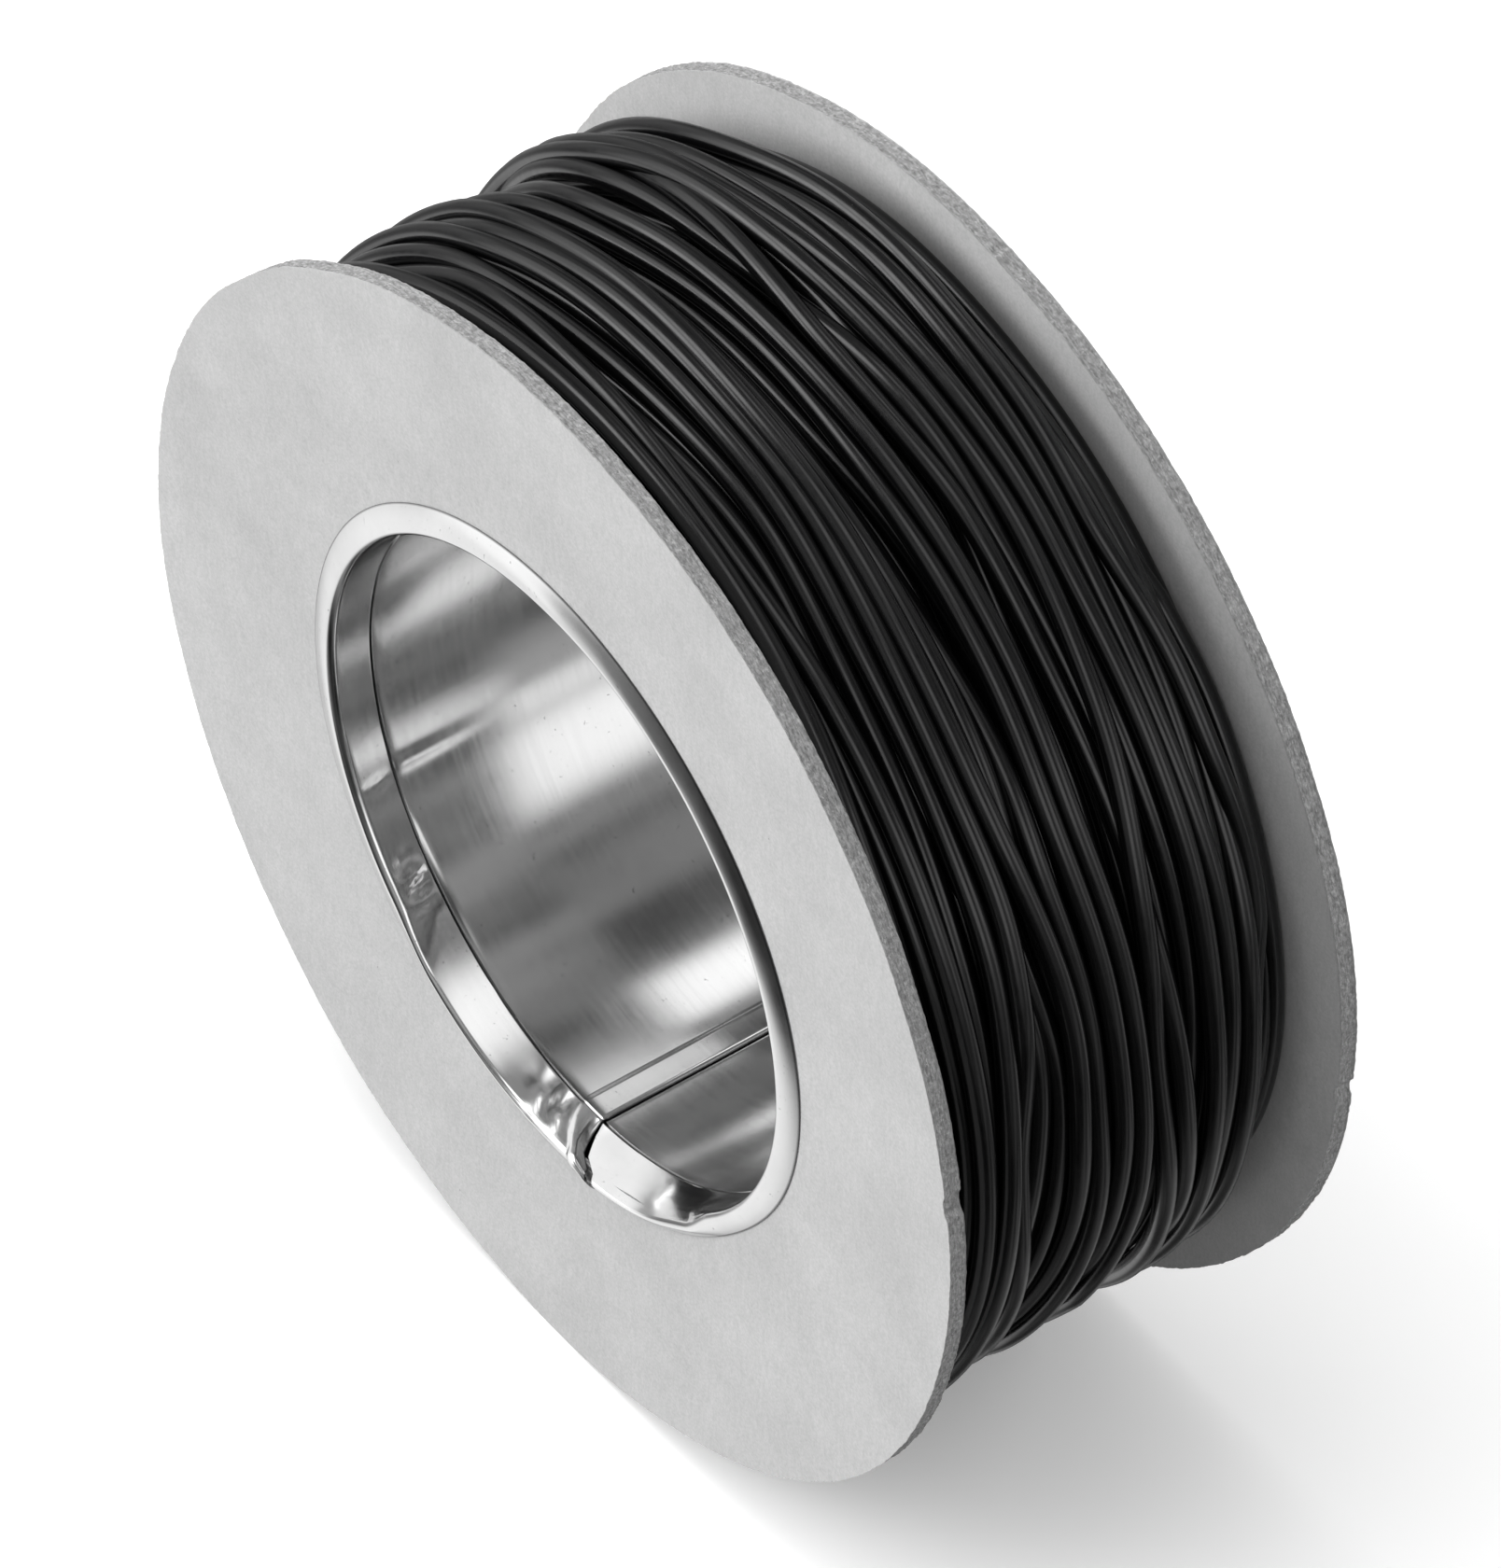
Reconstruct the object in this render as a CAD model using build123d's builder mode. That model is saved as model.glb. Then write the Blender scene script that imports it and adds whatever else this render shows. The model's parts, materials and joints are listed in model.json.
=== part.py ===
from build123d import *
from math import asin, cos, degrees, radians, sin
import os

# Filament spool: a seamed tinplate core, two faced greyboard flanges and eleven wound layers of filament.
#
# Frame: the origin is the centre of the bore. The spool's axis is Y, with the front flange at -Y,
# and Z is up, so that the spool stands on the rims of its flanges. The core's seam is at the bottom.
# Each layer of the winding is its own piece, so outer layers can be left out to show a part-used spool.

# Driving dimensions, in millimetres and degrees
flange_radius = 82.5
width_over_flanges = 61.3
board_thickness = 2.2
facing_thickness = 0.15
facing_tuck = 1.25  # how far the outer facing reaches in under the curl, from the curl's middle
bore_radius = 46.0
tin_thickness = 0.3
curl_radius = 2.35
curl_stand = 0.8
bead_from_end = 5.5
bead_width = 1.6
bead_depth = 1.0
seam_width = 4.2
seam_ridge = 0.3
seam_gap_width = 0.4
seam_gap_depth = 0.2
split_width = 0.5
split_angle = 278
filament_diameter = 2.85
filament_pitch = 2.95
layer_count = 11
slip = 0.05
layer_gap = 0.02

# Worked out from the driving dimensions
end = width_over_flanges / 2
flange_thickness = board_thickness + 2 * facing_thickness
inner_face = end - flange_thickness
core_radius = bore_radius + tin_thickness
hole_radius = core_radius + slip
bead_middle = end - bead_from_end
plain_half_length = bead_middle - bead_width / 2
curl_centre_radius = bore_radius + curl_radius
curl_centre_end = end + curl_stand - curl_radius
inside_curl = curl_radius - tin_thickness
curl_stop = degrees(asin((end - curl_centre_end) / inside_curl))
facing_hole = curl_centre_radius - facing_tuck
hole_rounding = curl_radius - curl_stand - facing_thickness
ridge_half_length = plain_half_length - 2 * tin_thickness
winding_radius = core_radius + seam_ridge + slip
layer_step = filament_diameter + layer_gap

os.makedirs("parts", exist_ok=True)


def save(part, label):
    """Name a finished piece and write it as its own STEP file."""
    part.label = label
    export_step(part, f"parts/{label}.step")


def curl_point(angle):
    """A point on the outside of the curled end, in the plane of the core's profile."""
    a = radians(angle)
    return (curl_centre_radius + curl_radius * cos(a), curl_centre_end + curl_radius * sin(a))


def make_core():
    """One sheet of tinplate: a tube with a bead behind each flange and both ends curled over the boards."""
    with BuildPart() as core:
        # Half of the section, as the bore side of the sheet, thickened outwards and mirrored
        with BuildSketch(Plane.XY):
            with BuildLine():
                with BuildLine() as bore_side:
                    wall = Line((bore_radius, 0), (bore_radius, plain_half_length))
                    bead = ThreePointArc(
                        wall @ 1,
                        (bore_radius + bead_depth, bead_middle),
                        (bore_radius, bead_middle + bead_width / 2),
                    )
                    band = Line(bead @ 1, curl_point(180))
                    ThreePointArc(band @ 1, curl_point(90), curl_point(curl_stop))
                offset(bore_side.line, amount=tin_thickness, side=Side.RIGHT)
            make_face()
            mirror(about=Plane.XZ)
        revolve(axis=Axis.Y)

        # The lock seam stands out as a flat ridge between the beads, rooted half way into the sheet
        with BuildSketch(Plane.XZ.offset(-ridge_half_length)):
            Circle(core_radius + seam_ridge)
            Circle(core_radius - tin_thickness / 2, mode=Mode.SUBTRACT)
            with Locations((0, -core_radius)):
                Rectangle(seam_width, 2 * (tin_thickness + seam_ridge), mode=Mode.INTERSECT)
        extrude(amount=2 * ridge_half_length)

        # Inside, the line where the two edges of the sheet meet
        with BuildSketch(Plane.XZ.offset(-plain_half_length)):
            with Locations((seam_width / 2, -bore_radius)):
                Rectangle(seam_gap_width, 2 * seam_gap_depth)
        extrude(amount=2 * plain_half_length, mode=Mode.SUBTRACT)

        # Both curls are split where the seam reaches them
        for side in (-1, 1):
            split_plane = Plane(origin=(0, side * end, 0), x_dir=(1, 0, 0), z_dir=(0, -1, 0))
            with BuildSketch(split_plane.rotated((0, 0, split_angle))):
                with Locations((curl_centre_radius, 0)):
                    Rectangle(4 * curl_radius, split_width)
            extrude(amount=flange_thickness / 2, both=True, mode=Mode.SUBTRACT)
    return core.part


def make_board(side):
    """The greyboard of one flange, its hole rounded on the outside where the curl bears on it."""
    with BuildPart() as board:
        with BuildSketch(Plane.XZ.offset(-side * (inner_face + facing_thickness))):
            Circle(flange_radius)
            Circle(hole_radius, mode=Mode.SUBTRACT)
        extrude(amount=-side * board_thickness)
        hole_edges = board.edges().filter_by(GeomType.CIRCLE).sort_by(SortBy.RADIUS)[:2].sort_by(Axis.Y)
        outer_edge = hole_edges[-1] if side > 0 else hole_edges[0]
        fillet(outer_edge, radius=hole_rounding)
    return board.part


def make_facing(side, start, hole):
    """A sheet of facing paper, bonded to one side of a board."""
    with BuildPart() as facing:
        with BuildSketch(Plane.XZ.offset(-side * start)):
            Circle(flange_radius)
            Circle(hole, mode=Mode.SUBTRACT)
        extrude(amount=-side * facing_thickness)
    return facing.part


def make_layer(number):
    """One wound layer of filament. Odd layers travel one way along the spool, and even layers the other."""
    # The first layer lies between the beads of the core; the others run from flange to flange
    room = 2 * (plain_half_length if number == 1 else inner_face) - 2 * slip
    turns = int((room - filament_diameter) / filament_pitch)
    travel = turns * filament_pitch
    radius = winding_radius + filament_diameter / 2 + (number - 1) * layer_step
    with BuildPart() as layer:
        with BuildLine() as path:
            Helix(
                filament_pitch,
                travel,
                radius,
                center=(0, -travel / 2, 0),
                direction=(0, 1, 0),
                lefthand=number % 2 == 0,
            )
        with BuildSketch(Plane(origin=path.line @ 0, z_dir=path.line % 0)):
            Circle(filament_diameter / 2)
        sweep(path=path.line, is_frenet=True)
    return layer.part


save(make_core(), "core_tube")
for side, name in ((-1, "front"), (1, "rear")):
    save(make_board(side), f"{name}_flange_board")
    save(make_facing(side, end - facing_thickness, facing_hole), f"{name}_flange_outer_facing")
    save(make_facing(side, inner_face, hole_radius), f"{name}_flange_inner_facing")
for number in range(1, layer_count + 1):
    save(make_layer(number), f"filament_layer_{number:02d}")
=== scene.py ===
"""Looks of the filament spool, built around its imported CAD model.

The spool's axis is Y, its front flange is at -Y and its seam is at the bottom. Lengths are in metres.
The core and the flanges are remade with their seam, split, dents, rough edges and nicks, and the four
outermost layers of the winding with the uneven lie of a real one. The layers under them stay CAD nodes.
Angles about the axis run from +X towards +Z.
"""
import json
import math
from functools import partial

import bpy
import numpy as np
from mathutils import Matrix, Vector


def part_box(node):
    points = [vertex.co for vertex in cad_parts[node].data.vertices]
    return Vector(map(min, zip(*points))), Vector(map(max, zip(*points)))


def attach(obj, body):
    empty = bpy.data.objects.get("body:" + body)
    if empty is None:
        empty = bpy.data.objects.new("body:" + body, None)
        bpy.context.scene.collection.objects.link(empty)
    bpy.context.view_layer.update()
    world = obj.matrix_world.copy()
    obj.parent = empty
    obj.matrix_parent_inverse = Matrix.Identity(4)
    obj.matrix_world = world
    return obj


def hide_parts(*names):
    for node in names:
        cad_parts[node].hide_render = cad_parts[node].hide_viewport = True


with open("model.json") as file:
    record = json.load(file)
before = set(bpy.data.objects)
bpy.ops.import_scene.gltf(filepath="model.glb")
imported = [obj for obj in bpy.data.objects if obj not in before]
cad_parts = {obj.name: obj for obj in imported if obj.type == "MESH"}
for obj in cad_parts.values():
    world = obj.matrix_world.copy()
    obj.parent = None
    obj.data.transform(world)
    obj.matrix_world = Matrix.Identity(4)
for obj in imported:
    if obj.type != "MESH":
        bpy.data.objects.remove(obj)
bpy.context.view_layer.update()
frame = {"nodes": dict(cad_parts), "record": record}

MM = 0.001
TURN = 2 * math.pi
STRAND_DIAMETER = 2.85 * MM
DISH = 1.8 * MM  # how far the crimped curls draw the outer faces of the flanges in at the hub
CREST_STAND = 1.1 * MM  # from the drawn-in face out to the crest of the curl
BEAD_FROM_HUB = 5.1 * MM  # from the drawn-in face in to the middle of the bead
CURL_REACH = 0.5 * MM  # from the CAD core's widest place out to where the curl bears on the paper


# ---------------------------------------------------------------- sizes read from the frame
def outer_radius(node):
    """A round node's outer radius. Its axis is Y, so this is half of its widest X."""
    low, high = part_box(node)
    return max(high.x, -low.x)


bore = next(m for m in frame["record"]["mounts"] if m["name"] == "bore")
bore_radius = bore["dims"]["r_mm"] * MM
flange_radius = outer_radius("front_flange_board")
contact_radius = outer_radius("core_tube") + CURL_REACH
winding_base = outer_radius("filament_layer_07")
outer_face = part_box("rear_flange_outer_facing")[1].y
board_inner, board_outer = (corner.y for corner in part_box("rear_flange_board"))
inner_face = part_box("rear_flange_inner_facing")[0].y
hub_face = outer_face - DISH
bead_middle = hub_face - BEAD_FROM_HUB
crest = hub_face + CREST_STAND


# ---------------------------------------------------------------- curves
def smoothstep(x):
    """0 up to 0, 1 from 1 on, and an even rise between them."""
    x = np.clip(x, 0, 1)
    return x * x * (3 - 2 * x)


def turned_from(angle, place):
    """Angles measured from a place that is given in degrees, the short way round."""
    return (angle - math.radians(place) + math.pi) % TURN - math.pi


def ripple(rng, angle, lowest, highest, fade=1.0):
    """Periodic noise about the axis, of about unit size, from up to 40 waves of the given counts per turn."""
    counts = np.unique(np.geomspace(lowest, highest, 40).astype(int))
    size = (lowest / counts) ** fade * rng.normal(size=len(counts))
    phase = rng.uniform(0, TURN, len(counts))
    waves = size[:, None] * np.sin(counts[:, None] * np.ravel(angle) + phase[:, None])
    return waves.sum(0).reshape(np.shape(angle)) / math.sqrt((size**2).sum() / 2)


FLARED_FROM, FLARED_TO, FLARE_FADE = 227, 306, 12  # in degrees


def flare(degrees):
    """How far the mouth is flared at each angle: 1 over the part that the seam is in, 0 elsewhere."""
    rise = smoothstep((degrees - FLARED_FROM) / FLARE_FADE + 0.5)
    fall = smoothstep((FLARED_TO - degrees) / FLARE_FADE + 0.5)
    return rise * fall


# ---------------------------------------------------------------- materials
def feed(node, inputs):
    """Give a node its inputs, each of them a value or a socket to link."""
    for key, value in inputs.items():
        if isinstance(value, bpy.types.NodeSocket):
            node.id_data.links.new(value, node.inputs[key])
        else:
            node.inputs[key].default_value = value


def add_node(tree, kind, inputs=None, **settings):
    """A new node with its settings and its inputs."""
    node = tree.nodes.new(kind)
    for key, value in settings.items():
        setattr(node, key, value)
    feed(node, inputs or {})
    return node


def new_material(name):
    """A material with its shader, and a function that adds nodes to it."""
    material = bpy.data.materials.new(name)
    material.use_nodes = True
    tree = material.node_tree
    return material, tree.nodes["Principled BSDF"], partial(add_node, tree)


def grey(brightness):
    """A grey as an opaque colour."""
    return (brightness, brightness, brightness, 1)


def grey_ramp(add, source, stops):
    """A colour ramp of greys, given as (place, brightness) pairs."""
    ramp = add("ShaderNodeValToRGB", {"Fac": source})
    elements = ramp.color_ramp.elements
    while len(elements) < len(stops):
        elements.new(0.5)
    for element, (place, brightness) in zip(elements, stops):
        element.position = place
        element.color = grey(brightness)
    return ramp.outputs["Color"]


def mix(add, kind, factor, a, b):
    """Two colours blended."""
    return add("ShaderNodeMix", {0: factor, 6: a, 7: b}, data_type="RGBA", blend_type=kind).outputs[2]


def calculate(add, operation, *values):
    """The result of a sum on numbers or sockets."""
    return add("ShaderNodeMath", dict(enumerate(values)), operation=operation).outputs[0]


def noise(add, scale, detail=4.0, roughness=0.6, vector=None):
    """Noise in the object's own coordinates, in features per metre."""
    if vector is None:
        vector = add("ShaderNodeTexCoord").outputs["Object"]
    inputs = {"Vector": vector, "Scale": scale, "Detail": detail, "Roughness": roughness}
    return add("ShaderNodeTexNoise", inputs).outputs["Fac"]


def stretched(add, scale):
    """Object coordinates stretched along the axes."""
    coordinates = add("ShaderNodeTexCoord").outputs["Object"]
    return add("ShaderNodeMapping", {"Vector": coordinates, "Scale": scale}).outputs["Vector"]


def bump(add, height, strength, distance):
    """A normal that follows a height."""
    inputs = {"Height": height, "Strength": strength, "Distance": distance}
    return add("ShaderNodeBump", inputs).outputs["Normal"]


def paper_material():
    """Smooth light grey facing paper, with faint clouding, fine grain, short fibres and a few dark flecks."""
    material, shader, add = new_material("facing_paper")
    clouds = grey_ramp(add, noise(add, 45, 6, 0.7), [(0.3, 0.415), (0.7, 0.49)])
    grain = grey_ramp(add, noise(add, 2600, 2), [(0.3, 0.86), (0.65, 1.0)])
    fibres = noise(add, 1500, 3, vector=stretched(add, (1, 1, 0.3)))
    fibres = grey_ramp(add, fibres, [(0.35, 0.94), (0.6, 1.0)])
    cells = add("ShaderNodeTexVoronoi", {"Vector": stretched(add, (1, 1, 0.6)), "Scale": 330.0})
    flecks = grey_ramp(add, cells.outputs["Distance"], [(0.035, 0.5), (0.06, 1.0)])
    no_flecks = grey_ramp(add, noise(add, 420, 2), [(0.62, 1.0), (0.66, 0.0)])
    flecks = mix(add, "MIX", no_flecks, flecks, grey(1))
    colour = clouds
    for layer in (grain, fibres, flecks):
        colour = mix(add, "MULTIPLY", 1.0, colour, layer)
    feed(shader, {
        "Base Color": colour,
        "Normal": bump(add, noise(add, 2200, 4), 0.16, 0.05 * MM),
        "Roughness": 0.78,
        "Specular IOR Level": 0.3,
    })
    return material


def board_material():
    """Greyboard: darker pulp in thin laminations, seen at the cut edge, with pale torn fibres."""
    material, shader, add = new_material("greyboard")
    layers = noise(add, 1.0, 5, 0.7, stretched(add, (900, 3600, 900)))
    pulp = noise(add, 1900, 5, 0.75)
    torn = noise(add, 1.0, 3, 0.6, stretched(add, (1300, 2200, 1300)))
    colour = mix(
        add, "MULTIPLY", 1.0,
        grey_ramp(add, layers, [(0.32, 0.20), (0.68, 0.50)]),
        grey_ramp(add, pulp, [(0.3, 0.55), (0.65, 1.0)]),
    )
    colour = mix(add, "MIX", grey_ramp(add, torn, [(0.60, 0.0), (0.70, 0.8)]), colour, grey(0.5))
    feed(shader, {
        "Base Color": colour,
        "Normal": bump(add, mix(add, "MIX", 0.5, layers, pulp), 0.9, 0.3 * MM),
        "Roughness": 0.95,
        "Specular IOR Level": 0.15,
    })
    return material


def tin_material():
    """Bright tinplate: satin metal with faint rolling grain around the tube, dull patches, and painted shade
    that darkens its grooves, its slit and the line where its curls bear on the paper.
    """
    material, shader, add = new_material("tinplate")
    grain = noise(add, 1.0, 4, 0.6, stretched(add, (60, 1800, 60)))
    patches = noise(add, 55, 5, 0.65)
    specks = grey_ramp(add, noise(add, 1300, 3, 0.7), [(0.66, 1.0), (0.74, 0.55)])
    tone = mix(add, "MULTIPLY", 1.0, grey_ramp(add, patches, [(0.3, 0.74), (0.7, 0.86)]), specks)
    # painted shade: the mesh attribute darkens the tin in the grooves, along the slit and where the curls
    # meet the paper
    painted_shade = add("ShaderNodeAttribute", attribute_name="painted_shade").outputs["Fac"]
    feed(shader, {
        "Base Color": mix(add, "MIX", painted_shade, tone, grey(0.03)),
        "Normal": bump(add, grain, 0.05, 0.02 * MM),
        "Roughness": grey_ramp(add, mix(add, "MIX", 0.35, patches, grain), [(0.3, 0.10), (0.7, 0.21)]),
        "Metallic": 1.0,
    })
    return material


def filament_material():
    """Soft black filament: a satin skin with fine drawing marks and a little dust."""
    material, shader, add = new_material("filament")
    marks = noise(add, 700, 4)
    dust = grey_ramp(add, noise(add, 2600, 2, 0.5), [(0.76, 0.0), (0.79, 1.0)])
    feed(shader, {
        "Base Color": mix(add, "MIX", dust, (0.0025, 0.0025, 0.0027, 1), grey(0.03)),
        "Normal": bump(add, marks, 0.08, 0.05 * MM),
        "Roughness": grey_ramp(add, marks, [(0.3, 0.17), (0.7, 0.27)]),
        "Specular IOR Level": 0.7,
    })
    return material


# By the record's names for its slots
materials = {
    "facing_paper": paper_material(),
    "greyboard": board_material(),
    "tinplate": tin_material(),
    "filament": filament_material(),
}


# ---------------------------------------------------------------- meshes
SHARP_EDGE = math.radians(40)


def around_axis(radius, y, angle):
    """Points from their distance to the spool's axis, their place along it and their angle about it."""
    return np.stack(np.broadcast_arrays(radius * np.cos(angle), y, radius * np.sin(angle)), -1)


def quads_of_grid(rows, columns, closed_rows):
    """The faces of a grid of points numbered row by row. Each row is a closed loop."""
    r = np.arange(rows if closed_rows else rows - 1)
    r, c = np.meshgrid(r, np.arange(columns), indexing="ij")
    r2, c2 = (r + 1) % rows, (c + 1) % columns
    corners = [r * columns + c, r2 * columns + c, r2 * columns + c2, r * columns + c2]
    return np.stack(corners, -1).reshape(-1, 4)


def cap_of_row(columns, first):
    """Faces that close a row, joining its halves. first is the number of the row's first point."""
    k = np.arange(columns // 2 - 1)
    return np.stack([k, k + 1, columns - 2 - k, columns - 1 - k], -1) + first


def make_piece(name, points, quads, node, slot, painted_shade=None):
    """A smooth-shaded mesh that rides on the spool and stands for a CAD node. Its last argument, if given, is
    painted shade: how far each point's colour is darkened.
    """
    mesh = bpy.data.meshes.new(name)
    mesh.from_pydata(points.reshape(-1, 3).tolist(), [], quads.tolist())
    mesh.validate()
    mesh.polygons.foreach_set("use_smooth", [True] * len(mesh.polygons))
    mesh.set_sharp_from_angle(angle=SHARP_EDGE)
    mesh.materials.append(materials[slot])
    if painted_shade is not None:
        mesh.attributes.new("painted_shade", "FLOAT", "POINT").data.foreach_set("value", painted_shade.ravel())
    piece = bpy.data.objects.new(name, mesh)
    bpy.context.scene.collection.objects.link(piece)
    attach(piece, "root")
    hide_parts(node)


# ---------------------------------------------------------------- flanges
FLANGES = (
    # side, name, and the nick in its rim: its angle in degrees, and its half width and depth in mm
    (-1, "front", 8.5, 1.6, 0.6),
    (1, "rear", -4, 1.2, 0.6),
)
BOARD_HOLE = bore_radius + 0.35 * MM
PAPER_HOLE = bore_radius + 1.1 * MM
PLIES = (
    # name, CAD node, slot, distances of its faces from the spool's middle, how much of the dish each takes
    # up, hole, and in mm the roughness of its cut edge and how far that stands back
    ("board", "board", "greyboard", (board_inner, board_outer), (0, 1), BOARD_HOLE, 0.07, 0.06),
    ("outer_paper", "outer_facing", "facing_paper", (board_outer, outer_face), (1, 1), PAPER_HOLE, 0.05, 0),
    ("inner_paper", "inner_facing", "facing_paper", (inner_face, board_inner), (0, 0), BOARD_HOLE, 0.09, 0.1),
)
RIM_SEED = 40
RIM_STEPS = 1800
RIM_TRIM = 0.12  # how far the average rim stands back from a perfect one, in mm
HOLE_FLARE = 1.7 * MM  # how much wider the holes are where the core's mouth is flared
OUTWARDS = np.array([0, 0.2, 0.4, 0.6, 0.8, 0.93, 0.985, 1])  # points of a face, from the hole to the rim
ACROSS = np.linspace(0, 1, 7)[1:-1]  # points of the cut edge


def flange_bow(side, radius, angle):
    """How far a flange's faces stray along the axis, as pressed board does."""
    reach = smoothstep((radius - contact_radius) / (flange_radius - contact_radius))
    return reach * (0.18 * np.sin(2 * angle + 1.1 * side) + 0.10 * np.sin(3 * angle - 0.7 + side)) * MM


def drawn_in(radius):
    """How far a flange's outer face is drawn in by the curl: nothing at the rim, and most under the curl."""
    return DISH * np.clip((flange_radius - radius) / (flange_radius - contact_radius), 0, 1)


def make_ply(name, node, slot, faces, dished, hole, roughness, recess, side, nick):
    """One ply of a flange, with a rough-cut edge. A flange's plies share the coarse shape of its rim."""
    rng = np.random.default_rng(RIM_SEED + side)
    angle = np.linspace(0, TURN, RIM_STEPS, endpoint=False)
    coarse = 0.07 * ripple(rng, angle, 5, 60) + 0.04 * ripple(rng, angle, 60, 600, 0.3)
    nick_angle, nick_half_width, nick_depth = nick
    from_nick = turned_from(angle, nick_angle) * flange_radius / (nick_half_width * MM)
    lost = nick_depth * MM * np.exp(-(from_nick**4))
    rim = flange_radius - np.maximum(recess + RIM_TRIM - coarse, 0) * MM - lost
    hole = hole + HOLE_FLARE * flare(np.degrees(angle))

    # The section runs out along one face, across the cut edge and back along the other face
    radius = [hole + (rim - hole) * share for share in OUTWARDS]
    radius += [rim - np.abs(roughness * ripple(rng, angle, 40, 800, 0.2)) * MM for _ in ACROSS]
    radius += radius[len(OUTWARDS) - 1 :: -1]
    radius = np.stack(radius, -1)
    share = np.concatenate([0 * OUTWARDS, ACROSS, 0 * OUTWARDS + 1])
    angle = angle[:, None]
    place = faces[0] + (faces[1] - faces[0]) * share
    place = place - drawn_in(radius) * (dished[0] + (dished[1] - dished[0]) * share)
    points = around_axis(radius, side * place + flange_bow(side, radius, angle), angle)
    quads = quads_of_grid(len(angle), len(share), True)
    if side < 0:
        quads = quads[:, ::-1]
    make_piece(name, points, quads, node, slot)


# ---------------------------------------------------------------- core
SHEET = 0.3 * MM
BEAD_HALF_WIDTH, BEAD_HEIGHT = 0.5 * MM, 0.6 * MM
GROOVE_HALF_WIDTH, GROOVE_DEPTH = 0.22 * MM, 0.5 * MM
CURL_DROP = 0.85 * MM
# How far the band before the curl leans outwards, in degrees, and the radius of the bend at its top
PLAIN_MOUTH = (0, 1.1 * MM)
FLARED_MOUTH = (16, 0.9 * MM)
SPRUNG_MOUTH = (25, 0.5 * MM)
SPRUNG_TO, SPRUNG_FADE = 291, 18  # in degrees
CURL_SHARES = np.linspace(0, 1, 12)[1:]  # points of the curl's slope, from its crest to the paper
NARROWEST, NARROW_HALF_WIDTH = 310, 22  # where the curl is narrowest, in degrees
NARROWER = 1.1 * MM

SEAM = 273  # in degrees
FINE_BEFORE_SEAM, FINE_AFTER_SEAM = 62 * MM, 30 * MM  # how far the finer steps reach around the tube
SEAM_STRIP = 4.2 * MM
SLIT_GAP = 0.14 * MM
BAND_TURN, BAND_GAP = 3.0, 0.50 * MM  # how far the slit turns aside, in degrees, and opens across the band
CURL_TURN, CURL_GAP = 4.0, 0.40 * MM  # and how much further across the curl
LIP_SINK, LIP_WIDTH = 0.15 * MM, 0.22 * MM  # the lips of the slit sink three times as far in the tube
STRIP_STAND, STRIP_FADE = 0.16 * MM, 0.5 * MM

UNEVEN_SEED, MOUTH_SEED = 23, 11
UNEVEN = 0.13 * MM
WALL_CREASE, CREASE_HALF_WIDTH, CREASE_DEPTH = 204, math.radians(1.3), 0.11 * MM
DENTS_FROM_BEAD = 5.5 * MM  # the dents' distances are measured inwards from this far beyond the bead
FRONT_DENTS = (
    # angle, distance inwards, depth towards the axis, half width around and half width along. The half width
    # around is in degrees, and the lengths are in mm
    (205.5, 3.2, -0.14, 0.8, 2.4),
    (218.5, 2.6, -0.22, 1.6, 1.2),
    (221.5, 3.0, 0.40, 0.9, 1.6),
    (223.6, 3.4, -0.30, 0.8, 1.6),
    (226.0, 3.0, 0.34, 1.0, 1.8),
    (229, 3.2, -0.14, 1.4, 2.0),
    (259.5, 3.6, -0.20, 2.2, 1.6),
    (263.0, 2.6, 0.26, 1.0, 2.2),
    (265.4, 3.4, -0.26, 0.9, 1.8),
    (267.6, 2.4, 0.22, 0.8, 1.6),
    (280, 1.4, 0.20, 5.0, 3.0),
    (293, 2.4, -0.12, 3.0, 2.2),
)
REAR_DENTS = (
    (150, 3.0, -0.2, 2.0, 1.6),
    (262, 3.2, -0.24, 1.4, 1.8),
    (284, 3.0, 0.2, 1.8, 1.6),
)


def half_section(lean, bend):
    """The bore side of the sheet from its middle to the end of the rear curl, as (radius, y) pairs."""
    groove_start = bead_middle - GROOVE_HALF_WIDTH
    groove_stop = bead_middle + GROOVE_HALF_WIDTH
    points = [(bore_radius, y) for y in np.linspace(0, groove_start - 1.6 * MM, 10)]
    points += [(bore_radius, groove_start - step * MM) for step in (0.8, 0.3, 0.1, 0.03)]
    for t in np.linspace(-1, 1, 7):
        points.append((bore_radius + GROOVE_DEPTH * (1 - t * t), bead_middle + GROOVE_HALF_WIDTH * t))

    # The band runs straight from the groove until it touches the bend
    lean = math.radians(lean)
    y = crest - bend
    radius = bore_radius + (y - groove_stop) * math.tan(lean) + bend / math.cos(lean)
    band = (y + bend * math.sin(lean) - groove_stop) / math.cos(lean)
    for along in (0.03 * MM, 0.1 * MM, 0.3 * MM, 0.3 * band, 0.5 * band, 0.7 * band, 0.9 * band):
        points.append((bore_radius + along * math.sin(lean), groove_stop + along * math.cos(lean)))
    for a in np.linspace(math.pi - lean, math.pi / 2, 9):
        points.append((radius + bend * math.cos(a), y + bend * math.sin(a)))

    # Beyond its crest the curl slopes down to the paper, ever more steeply
    for t in CURL_SHARES:
        points.append((radius + (contact_radius - radius) * t, crest - CURL_DROP * (0.6 * t + 0.4 * t * t)))
    return np.array(points)


def steps_around(length):
    """Distances around the tube from the slit: fine steps beside it and at the dents, wider elsewhere."""
    beside = np.concatenate([np.linspace(0, 1, 12)[:-1] ** 1.5 * 1.5, np.arange(1.5, 5.0, 0.3)]) * MM
    next_step = beside[-1] + 0.4 * MM
    return np.concatenate([
        beside,
        np.linspace(next_step, FINE_AFTER_SEAM, 44),
        np.linspace(FINE_AFTER_SEAM, length - FINE_BEFORE_SEAM, 136)[1:],
        np.linspace(length - FINE_BEFORE_SEAM, length - next_step, 118)[1:],
        length - beside[::-1],
    ])


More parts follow.
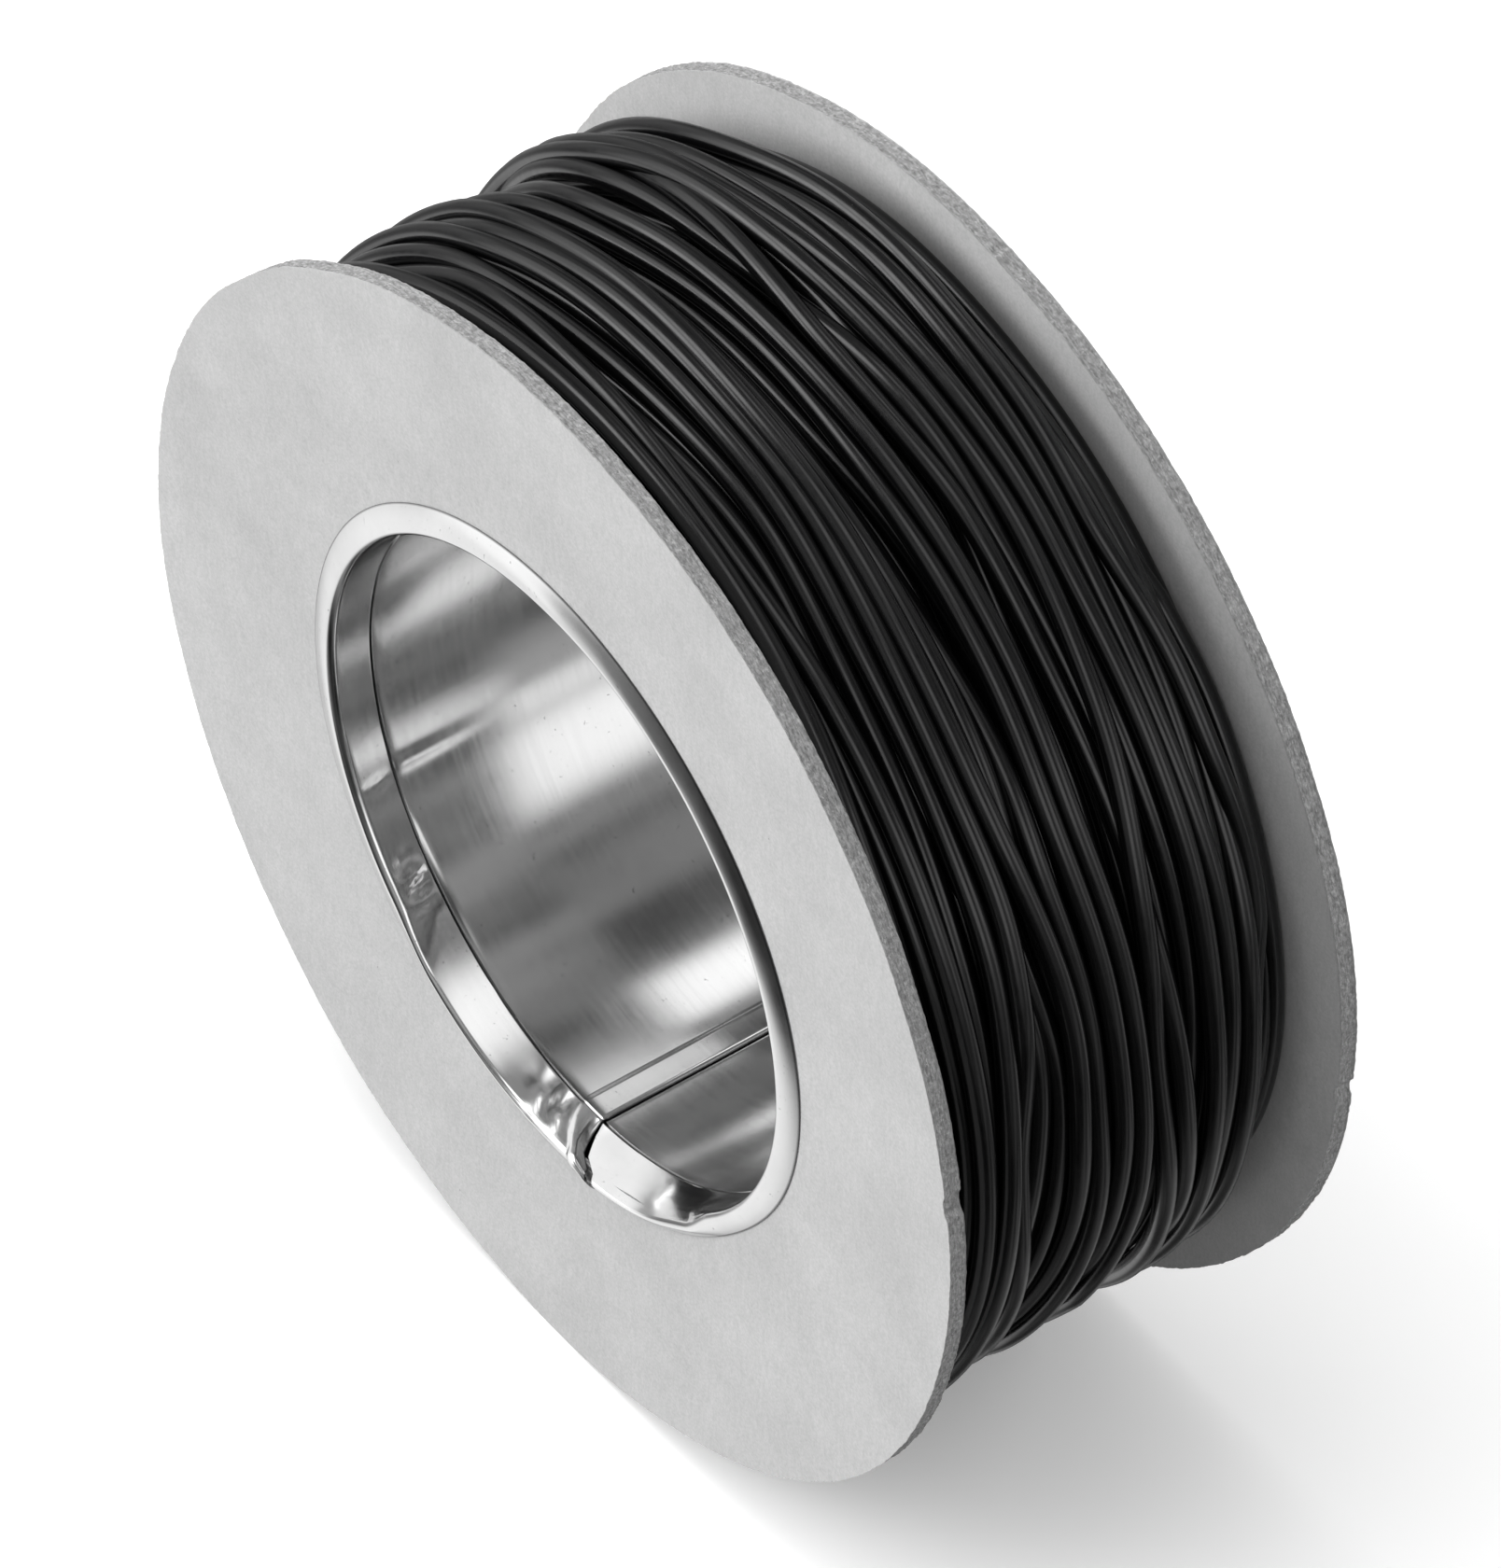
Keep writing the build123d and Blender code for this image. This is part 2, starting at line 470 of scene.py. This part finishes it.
def sheet_section(turned, slope_share):
    """The bore side of the whole sheet at each angle in degrees. slope_share is 0 up to the curls' crests and
    1 where they bear on the paper."""
    # The band is flared over the part of the mouth that the seam is in, most of all on the flap beyond the
    # slit, which has sprung open
    halves = [half_section(*mouth) for mouth in (PLAIN_MOUTH, FLARED_MOUTH, SPRUNG_MOUTH)]
    plain, flaring, open_wide = (np.concatenate([half[:0:-1] * (1, -1), half]) for half in halves)
    flared = flare(turned)
    sprung = smoothstep((turned - SEAM + 2) / 2) * smoothstep((SPRUNG_TO - turned) / SPRUNG_FADE + 0.5)
    section = plain + flared[:, :, None] * (flaring - plain) + sprung[:, :, None] * (open_wide - flaring)
    # The curl is narrowest at one place past the flap
    from_narrowest = np.degrees(turned_from(np.radians(turned), NARROWEST))
    section[..., 0] -= NARROWER * np.exp(-((from_narrowest / NARROW_HALF_WIDTH) ** 2)) * slope_share
    return section


def wavy_wall(angle, y):
    """The slight unevenness of a rolled tube, which bends what its wall reflects."""
    rng = np.random.default_rng(UNEVEN_SEED)
    depth = np.zeros(np.broadcast_shapes(angle.shape, y.shape))
    for _ in range(14):
        turns = int(rng.integers(2, 9))
        waves_along = rng.uniform(-26, 26)
        size = rng.normal() / (turns + abs(waves_along) / 4)
        depth = depth + size * np.sin(turns * angle + waves_along * TURN * y + rng.uniform(0, TURN))
    return UNEVEN * depth


def seam_push(around, length, beyond, in_tube):
    """How far the sheet is pushed outwards beside the slit: both of its lips turn away from the bore, and the
    lapped strip before it stands a little proud."""
    from_slit = np.minimum(around, length - around)
    sink = LIP_SINK * (1 + 2 * in_tube) * np.exp(-((from_slit / LIP_WIDTH) ** 1.3))
    from_strip = length - around - SEAM_STRIP * (1 - 0.35 * beyond)
    return sink - (STRIP_STAND + 0.10 * MM * beyond) * smoothstep(0.5 - from_strip / STRIP_FADE)


def dent_push(angle, y):
    """How far the dents push the bands outwards."""
    push = 0
    inwards = bead_middle + DENTS_FROM_BEAD - np.abs(y)
    on_band = smoothstep((np.abs(y) - bead_middle - 0.3 * MM) / (1.0 * MM))
    for dents, side in ((FRONT_DENTS, -1), (REAR_DENTS, 1)):
        for place, distance, depth, wide, long in dents:
            turn = np.degrees(turned_from(angle, place))
            along = (inwards - distance * MM) / (long * MM)
            shape = np.exp(-np.abs(turn / wide) ** 1.6 - along**2)
            push = push - depth * MM * shape * (y * side > 0) * on_band
    return push


def make_core():
    """The tinplate core: tube, beads and curls in one sheet, open along its seam and split at both curls."""
    length = TURN * bore_radius
    around = steps_around(length)[:, None]
    share = around / length
    turned = SEAM + 360 * share
    turned = np.where(turned >= 360, turned - 360, turned)

    slope_share = np.zeros(2 * len(half_section(*PLAIN_MOUTH)) - 1)
    slope_share[-len(CURL_SHARES) :] = CURL_SHARES
    slope_share[: len(CURL_SHARES)] = CURL_SHARES[::-1]
    section = sheet_section(turned, slope_share)
    radius, y = section[..., 0], section[..., 1]
    tangent = np.gradient(section, axis=1)
    tangent /= np.linalg.norm(tangent, axis=2)[..., None]
    outward = np.stack([tangent[..., 1], -tangent[..., 0]], -1)

    # The slit runs straight along the tube, and turns aside and opens across each band and curl
    beyond = smoothstep((np.abs(y) - bead_middle) / (crest - bead_middle))
    over = smoothstep((radius - bore_radius) / (contact_radius - bore_radius)) * (beyond > 0.9)
    slit = math.radians(SEAM) + np.radians(BAND_TURN * beyond + CURL_TURN * over)
    gap = (SLIT_GAP + BAND_GAP * beyond + CURL_GAP * over) / bore_radius
    angle = slit + gap / 2 + share * (TURN - gap)

    in_tube = 1 - smoothstep((np.abs(y) - bead_middle + 1 * MM) / (1 * MM))
    push = seam_push(around, length, beyond, in_tube) + dent_push(angle, y)
    push += 0.02 * MM * ripple(np.random.default_rng(MOUTH_SEED), angle[:, :1], 3, 30)
    push += wavy_wall(angle, y) * in_tube
    # The crease runs along the front half of the wall
    crease = np.exp(-((turned_from(angle, WALL_CREASE) / CREASE_HALF_WIDTH) ** 2))
    crease = crease * smoothstep((-y / MM - 4) / 18)
    push -= CREASE_DEPTH * crease * in_tube

    # The outside of the sheet follows the inside, but for the bead, which is wider there
    bead = BEAD_HEIGHT * np.maximum(1 - ((np.abs(y) - bead_middle) / BEAD_HALF_WIDTH) ** 2, 0)
    on_wall = np.abs(y) < bead_middle + GROOVE_HALF_WIDTH + 0.2 * MM
    inner_sheet = np.stack([radius, y], -1) + outward * push[..., None]
    outer_sheet = np.where(
        on_wall[..., None],
        np.stack([bore_radius + bead + SHEET + push, y], -1),
        inner_sheet + outward * SHEET,
    )
    sides = [around_axis(sheet[..., 0], sheet[..., 1], angle) for sheet in (inner_sheet, outer_sheet)]
    points = np.concatenate([sides[0], sides[1][:, ::-1]], axis=1)

    # Painted shade: the tin is darkened in the grooves, along the slit and where the curls bear on the paper
    in_groove = np.exp(-(((np.abs(y) - bead_middle) / (0.15 * MM)) ** 4))
    in_slit = np.exp(-((np.minimum(around, length - around) / (0.14 * MM)) ** 2))
    at_contact = smoothstep((slope_share - 0.96) / 0.03)
    shade_amount = np.clip(in_groove + in_slit + at_contact, 0, 1) * 0.9
    painted_shade = np.concatenate([shade_amount, 0 * shade_amount], axis=1)

    rows, columns = points.shape[:2]
    quads = np.concatenate([
        quads_of_grid(rows, columns, False)[:, ::-1],
        cap_of_row(columns, 0),
        cap_of_row(columns, (rows - 1) * columns)[:, ::-1],
    ])
    make_piece("core", points, quads, "core_tube", "tinplate", painted_shade)


# ---------------------------------------------------------------- winding
REMADE_LAYERS = (8, 9, 10, 11)
WINDING_SEED = 5
SWEEPS, TURNS_PER_SWEEP = 3, 20  # a sweep takes the winder from one flange to the other
STEPS = 240  # points of the strand in a turn
RING_POINTS = 14
START = math.radians(290)
FULLEST, FULL_HALF_WIDTH = 124, math.radians(50)  # the place is in degrees
TOP_RISE = 2.4 * MM  # how much higher the remade layers start at the fullest place
# How the winder's hand strays: for how many turns, and by how many strand diameters
DRIFTS = ((4.1, 0.5), (1.3, 0.5), (0.45, 0.42), (0.2, 0.34), (0.1, 0.18))
# The strand keeps most of its slope, and bends by at most MOST_BEND and leans by at most MOST_SLOPE in a step
KEPT_SLOPE, MOST_BEND, MOST_SLOPE = 0.9, 0.16 * MM, 0.21 * MM
TRIES = 21
# What it costs to lie high, to stray from where the winder lays it, to bend, and to stand too high
HEIGHT_COST, STRAY_COST, BEND_COST, TOO_HIGH_COST = 0.25, 0.35, 0.08, 8
COSTLY_BEND = 0.2 * MM
# A turn is evened out in so many rounds, starting level with the end of the turn before for so many steps
TIGHTENINGS, RUN_IN = 40, 12
MOST_SINK = 0.35 * MM


def towards_top(angle):
    """1 where the winding is fullest, near the top of the spool, fading to 0 on either side."""
    return np.exp(-((turned_from(angle, FULLEST) / FULL_HALF_WIDTH) ** 2))


def full_height(y, angle):
    """How high the winding may stand: full in the middle, and lower at the rear flange except at the top."""
    from_rear = (inner_face - y) / MM
    from_front = (inner_face + y) / MM
    top = towards_top(angle)
    rear_fall = (6.5 - 5.9 * top) * np.exp(-np.maximum(from_rear - 2, 0) / 4)
    front_fall = 1.5 * np.exp(-from_front / 4)
    return flange_radius - (4.6 - 2.2 * top + rear_fall + front_fall) * MM - STRAND_DIAMETER / 2


def traverse(rng, turns):
    """Where the winder lays the strand, step by step: back and forth, and never quite evenly."""
    reach = inner_face - STRAND_DIAMETER / 2 - 0.1 * MM
    t = np.arange(turns * STEPS) / STEPS
    sweep = np.abs((t / TURNS_PER_SWEEP + 1) % 2 - 1) * 2 - 1
    drift = np.zeros_like(t)
    for turns_long, size in DRIFTS:
        knots = rng.normal(size=int(turns / turns_long) + 4)
        x = t / turns_long
        i = x.astype(int)
        drift += size * (knots[i] + (knots[i + 1] - knots[i]) * smoothstep(x - i))
    return np.clip(sweep * reach + drift * STRAND_DIAMETER, -reach, reach)


def resting_place(tries, under_y, under_r, floor):
    """How high the strand rests at each place tried, on the turns that are under it or on the floor."""
    if not len(under_y):
        return np.full(len(tries), floor)
    apart = np.abs(tries[:, None] - under_y[None, :])
    over = np.sqrt(np.maximum(STRAND_DIAMETER**2 - apart**2, 0)) + under_r[None, :]
    return np.maximum(np.where(apart < STRAND_DIAMETER, over, floor).max(1), floor)


def pulled_tight(height, before):
    """A turn with its heights evened out, as far as it can sink into what it rests on."""
    held = np.concatenate([np.full(RUN_IN, before), height])
    eased = held.copy()
    for _ in range(TIGHTENINGS):
        padded = np.pad(eased, 1, mode="edge")
        eased = np.maximum(held - MOST_SINK, 0.25 * padded[:-2] + 0.5 * padded[1:-1] + 0.25 * padded[2:])
    return eased[RUN_IN:]


def wind(rng):
    """Lay the strand turn by turn. It leans towards the nearest hollow and rests on whatever is under it."""
    turns = SWEEPS * TURNS_PER_SWEEP
    goal = traverse(rng, turns)
    reach = inner_face - STRAND_DIAMETER / 2
    bends = np.linspace(-MOST_BEND, MOST_BEND, TRIES)
    laid_y = np.zeros((turns, STEPS))
    laid_r = np.zeros((turns, STEPS))
    y, slope = goal[0], 0.0
    angles = START + np.arange(STEPS) / STEPS * TURN
    floors = winding_base + STRAND_DIAMETER / 2 + TOP_RISE * towards_top(angles)
    for turn in range(turns):
        height = floors.copy()
        for step in range(STEPS):
            tries = np.clip(y + slope * KEPT_SLOPE + bends, -reach, reach)
            rest = resting_place(tries, laid_y[:turn, step], laid_r[:turn, step], floors[step])
            astray = (tries - goal[turn * STEPS + step]) / STRAND_DIAMETER
            too_high = np.maximum(rest - full_height(tries, angles[step]), 0) / STRAND_DIAMETER
            cost = rest / STRAND_DIAMETER * HEIGHT_COST
            cost += astray**2 * STRAY_COST
            cost += (bends / COSTLY_BEND) ** 2 * BEND_COST
            cost += too_high * TOO_HIGH_COST
            best = int(np.argmin(cost))
            slope = np.clip(tries[best] - y, -MOST_SLOPE, MOST_SLOPE)
            y = tries[best]
            laid_y[turn, step] = y
            height[step] = rest[best]
        laid_r[turn] = pulled_tight(height, laid_r[turn - 1, -1] if turn else floors[0])
    return laid_y.ravel(), laid_r.ravel()


def smoothed(values, width):
    """Values evened out along the strand."""
    span = np.arange(-3 * width, 3 * width + 1)
    weights = np.exp(-0.5 * (span / width) ** 2)
    padded = np.pad(values, 3 * width, mode="edge")
    return np.convolve(padded, weights / weights.sum(), mode="valid")


def make_strand(name, radius, y, angle, node):
    """A round strand along a path, capped at both ends."""
    path = around_axis(radius, y, angle)
    along = np.gradient(path, axis=0)
    along /= np.linalg.norm(along, axis=1)[:, None]
    out = around_axis(np.ones_like(angle), np.zeros_like(angle), angle)
    out -= along * (out * along).sum(1)[:, None]
    out /= np.linalg.norm(out, axis=1)[:, None]
    side = np.cross(along, out)
    turn = np.linspace(0, TURN, RING_POINTS, endpoint=False)
    ring = np.cos(turn)[None, :, None] * out[:, None] + np.sin(turn)[None, :, None] * side[:, None]
    points = path[:, None] + ring * STRAND_DIAMETER / 2
    quads = np.concatenate([
        quads_of_grid(len(path), RING_POINTS, False)[:, ::-1],
        cap_of_row(RING_POINTS, 0)[:, ::-1],
        cap_of_row(RING_POINTS, (len(path) - 1) * RING_POINTS),
    ])
    make_piece(name, points, quads, node, "filament")


def make_winding():
    """The outermost layers, as consecutive lengths of one strand."""
    y, radius = wind(np.random.default_rng(WINDING_SEED))
    y, radius = smoothed(y, 3), smoothed(radius, 3)
    angle = np.arange(len(y)) / STEPS * TURN + START
    # What stands more than half a millimetre too high is pressed down
    excess = (radius - full_height(y, angle)) / MM - 0.5
    radius -= np.where(excess > 0, excess * 0.7, 0) * MM
    each = len(y) // len(REMADE_LAYERS)
    for k, number in enumerate(REMADE_LAYERS):
        part = slice(k * each, (k + 1) * each + 1)
        node = f"filament_layer_{number:02d}"
        make_strand(f"strand_{number:02d}", radius[part], y[part], angle[part], node)


# ---------------------------------------------------------------- stage, lights and camera
FLOOR_HALF = 6.0
FLOOR_SEEN, FLOOR_LIGHTING = 0.92, 0.45  # its grey to the camera and to the spool
FLOOR_GLOW = 0.15
LAMP_SIZE = 1.2
LAMPS = (
    # name, place, power
    ("key", (-1.0, -1.2, 0.5), 30),
    ("top", (-0.3, -0.2, 1.7), 12),
    ("fill", (0.9, 1.3, 0.7), 13),
)
CAMERA_AZIMUTH, CAMERA_ELEVATION = math.radians(53.2), math.radians(45.9)
# From the middle of the spool, in flange radii
CAMERA_BACK, CAMERA_RIGHT, CAMERA_DOWN = 17.28, 0.0446, 0.0315
CAMERA_LENS = 265
CAMERA_SHIFT = (-0.01435, 0.0068)
WORLD_LIGHT, WORLD_SLANT = 0.53, 0.43
BRIGHT_SIDE = (-0.75, -0.45, 0.30)
STUDIO_DARK, STUDIO_LIGHT = 0.07, 0.42
SOFT_BOXES = (
    # direction, half angles of its even middle and of its faded edge in degrees, brightness
    ((0.86, 0.45, 0.28), 5, 20, 1.15),
    ((0.905, 0.42, -0.04), 1.5, 8, 0.95),
    ((-0.23, 0.42, 0.88), 4, 13, 1.3),
    ((0.20, -0.11, 0.97), 5, 22, 1.2),
    ((-0.45, -0.44, 0.78), 5, 22, 3.2),
    ((-0.85, -0.35, 0.50), 10, 27, 1.1),
    ((-0.56, -0.42, -0.72), 12, 34, 1.0),
    ((-0.70, -0.60, 0.25), 10, 34, 1.2),
    ((-0.61, -0.73, 0.30), 8, 20, 3.4),
    ((-0.62, -0.72, -0.28), 9, 22, 1.25),
    ((0.60, -0.47, 0.64), 4, 19, 1.3),
    ((0.85, -0.42, 0.30), 5, 22, 1.3),
    ((0.10, 0.75, -0.30), 6, 30, 0.5),
)
FLAG_BLACKNESS = 0.85
BLACK_FLAGS = (
    # direction, and half angles of its darkest middle and of its edge in degrees
    ((0.52, -0.66, -0.53), 20, 46),
    ((-0.28, -0.86, -0.42), 14, 20),
)


def make_floor():
    """A plain pale floor under the rims. It doesn't show in the spool's reflections."""
    mesh = bpy.data.meshes.new("floor")
    signs = ((-1, -1), (1, -1), (1, 1), (-1, 1))
    corners = [(x * FLOOR_HALF, y * FLOOR_HALF, -flange_radius) for x, y in signs]
    mesh.from_pydata(corners, [], [(0, 1, 2, 3)])
    floor = bpy.data.objects.new("floor", mesh)
    bpy.context.scene.collection.objects.link(floor)
    material, shader, add = new_material("floor")
    seen = add("ShaderNodeLightPath").outputs["Is Camera Ray"]
    feed(shader, {
        "Base Color": mix(add, "MIX", seen, grey(FLOOR_LIGHTING), grey(FLOOR_SEEN)),
        "Emission Color": grey(1),
        "Emission Strength": calculate(add, "MULTIPLY", seen, FLOOR_GLOW),
        "Roughness": 0.9,
    })
    mesh.materials.append(material)
    floor.visible_glossy = False


def make_lamp(name, place, power):
    """A soft square light that faces the spool. What the spool reflects is the studio, not its lamps."""
    light = bpy.data.lights.new(name, "AREA")
    light.size = LAMP_SIZE
    light.energy = power
    lamp = bpy.data.objects.new(name, light)
    lamp.location = place
    lamp.visible_glossy = False
    lamp.rotation_euler = (-Vector(place)).to_track_quat("-Z", "Y").to_euler()
    bpy.context.scene.collection.objects.link(lamp)


def make_camera():
    """A long lens, looking down at the front flange and the winding."""
    back = Vector((
        math.sin(CAMERA_AZIMUTH) * math.cos(CAMERA_ELEVATION),
        -math.cos(CAMERA_AZIMUTH) * math.cos(CAMERA_ELEVATION),
        math.sin(CAMERA_ELEVATION),
    ))
    right = Vector((math.cos(CAMERA_AZIMUTH), math.sin(CAMERA_AZIMUTH), 0))
    up = back.cross(right)
    camera = bpy.data.cameras.new("camera")
    camera.sensor_fit = "AUTO"
    camera.sensor_width = 36
    camera.lens = CAMERA_LENS
    camera.shift_x, camera.shift_y = CAMERA_SHIFT
    camera.clip_end = 100
    holder = bpy.data.objects.new("camera", camera)
    place = flange_radius * (CAMERA_BACK * back + CAMERA_RIGHT * right - CAMERA_DOWN * up)
    holder.matrix_world = Matrix.Translation(place) @ Matrix((right, up, back)).transposed().to_4x4()
    bpy.context.scene.collection.objects.link(holder)
    bpy.context.scene.camera = holder


def make_world():
    """A pale surround that lights the spool, and a darker studio with soft boxes for it to reflect."""
    world = bpy.data.worlds.new("studio")
    bpy.context.scene.world = world
    world.use_nodes = True
    tree = world.node_tree
    add = partial(add_node, tree)
    direction = add("ShaderNodeTexCoord").outputs["Generated"]

    def facing(towards):
        """How squarely a direction points at a place in the studio, as a cosine."""
        inputs = {0: direction, 1: Vector(towards).normalized()}
        return add("ShaderNodeVectorMath", inputs, operation="DOT_PRODUCT").outputs["Value"]

    def lobe(towards, inner, outer, strength):
        """A round patch of the studio, even in the middle and faded at the edge."""
        inputs = {
            "Value": facing(towards),
            "From Min": math.cos(math.radians(outer)),
            "From Max": math.cos(math.radians(inner)),
            "To Max": strength,
        }
        return add("ShaderNodeMapRange", inputs, interpolation_type="SMOOTHSTEP").outputs["Result"]

    clutter = add("ShaderNodeTexNoise", {"Vector": direction, "Scale": 2.6, "Detail": 1.0, "Distortion": 0.4})
    spread = {
        "Value": clutter.outputs["Fac"],
        "From Min": 0.35,
        "From Max": 0.65,
        "To Min": STUDIO_DARK,
        "To Max": STUDIO_LIGHT,
    }
    reflected = add("ShaderNodeMapRange", spread).outputs["Result"]
    for soft_box in SOFT_BOXES:
        reflected = calculate(add, "MAXIMUM", reflected, lobe(*soft_box))
    for flag in BLACK_FLAGS:
        shade = calculate(add, "SUBTRACT", 1.0, lobe(*flag, FLAG_BLACKNESS))
        reflected = calculate(add, "MULTIPLY", reflected, shade)
    lighting = calculate(add, "MULTIPLY_ADD", facing(BRIGHT_SIDE), WORLD_SLANT, WORLD_LIGHT)
    is_glossy = add("ShaderNodeLightPath").outputs["Is Glossy Ray"]
    strength = add("ShaderNodeMix", {0: is_glossy, 2: lighting, 3: reflected}).outputs[0]
    feed(tree.nodes["Background"], {"Color": grey(1), "Strength": strength})


for side, word, *nick in FLANGES:
    for ply, node, *build in PLIES:
        make_ply(f"{word}_{ply}", f"{word}_flange_{node}", *build, side, nick)
make_core()
make_winding()
for number in range(1, REMADE_LAYERS[0]):
    cad_layer = frame["nodes"][f"filament_layer_{number:02d}"]
    cad_layer.data.materials.clear()
    cad_layer.data.materials.append(materials["filament"])

bpy.context.scene.view_settings.view_transform = "Standard"
make_floor()
make_world()
for lamp in LAMPS:
    make_lamp(*lamp)
make_camera()
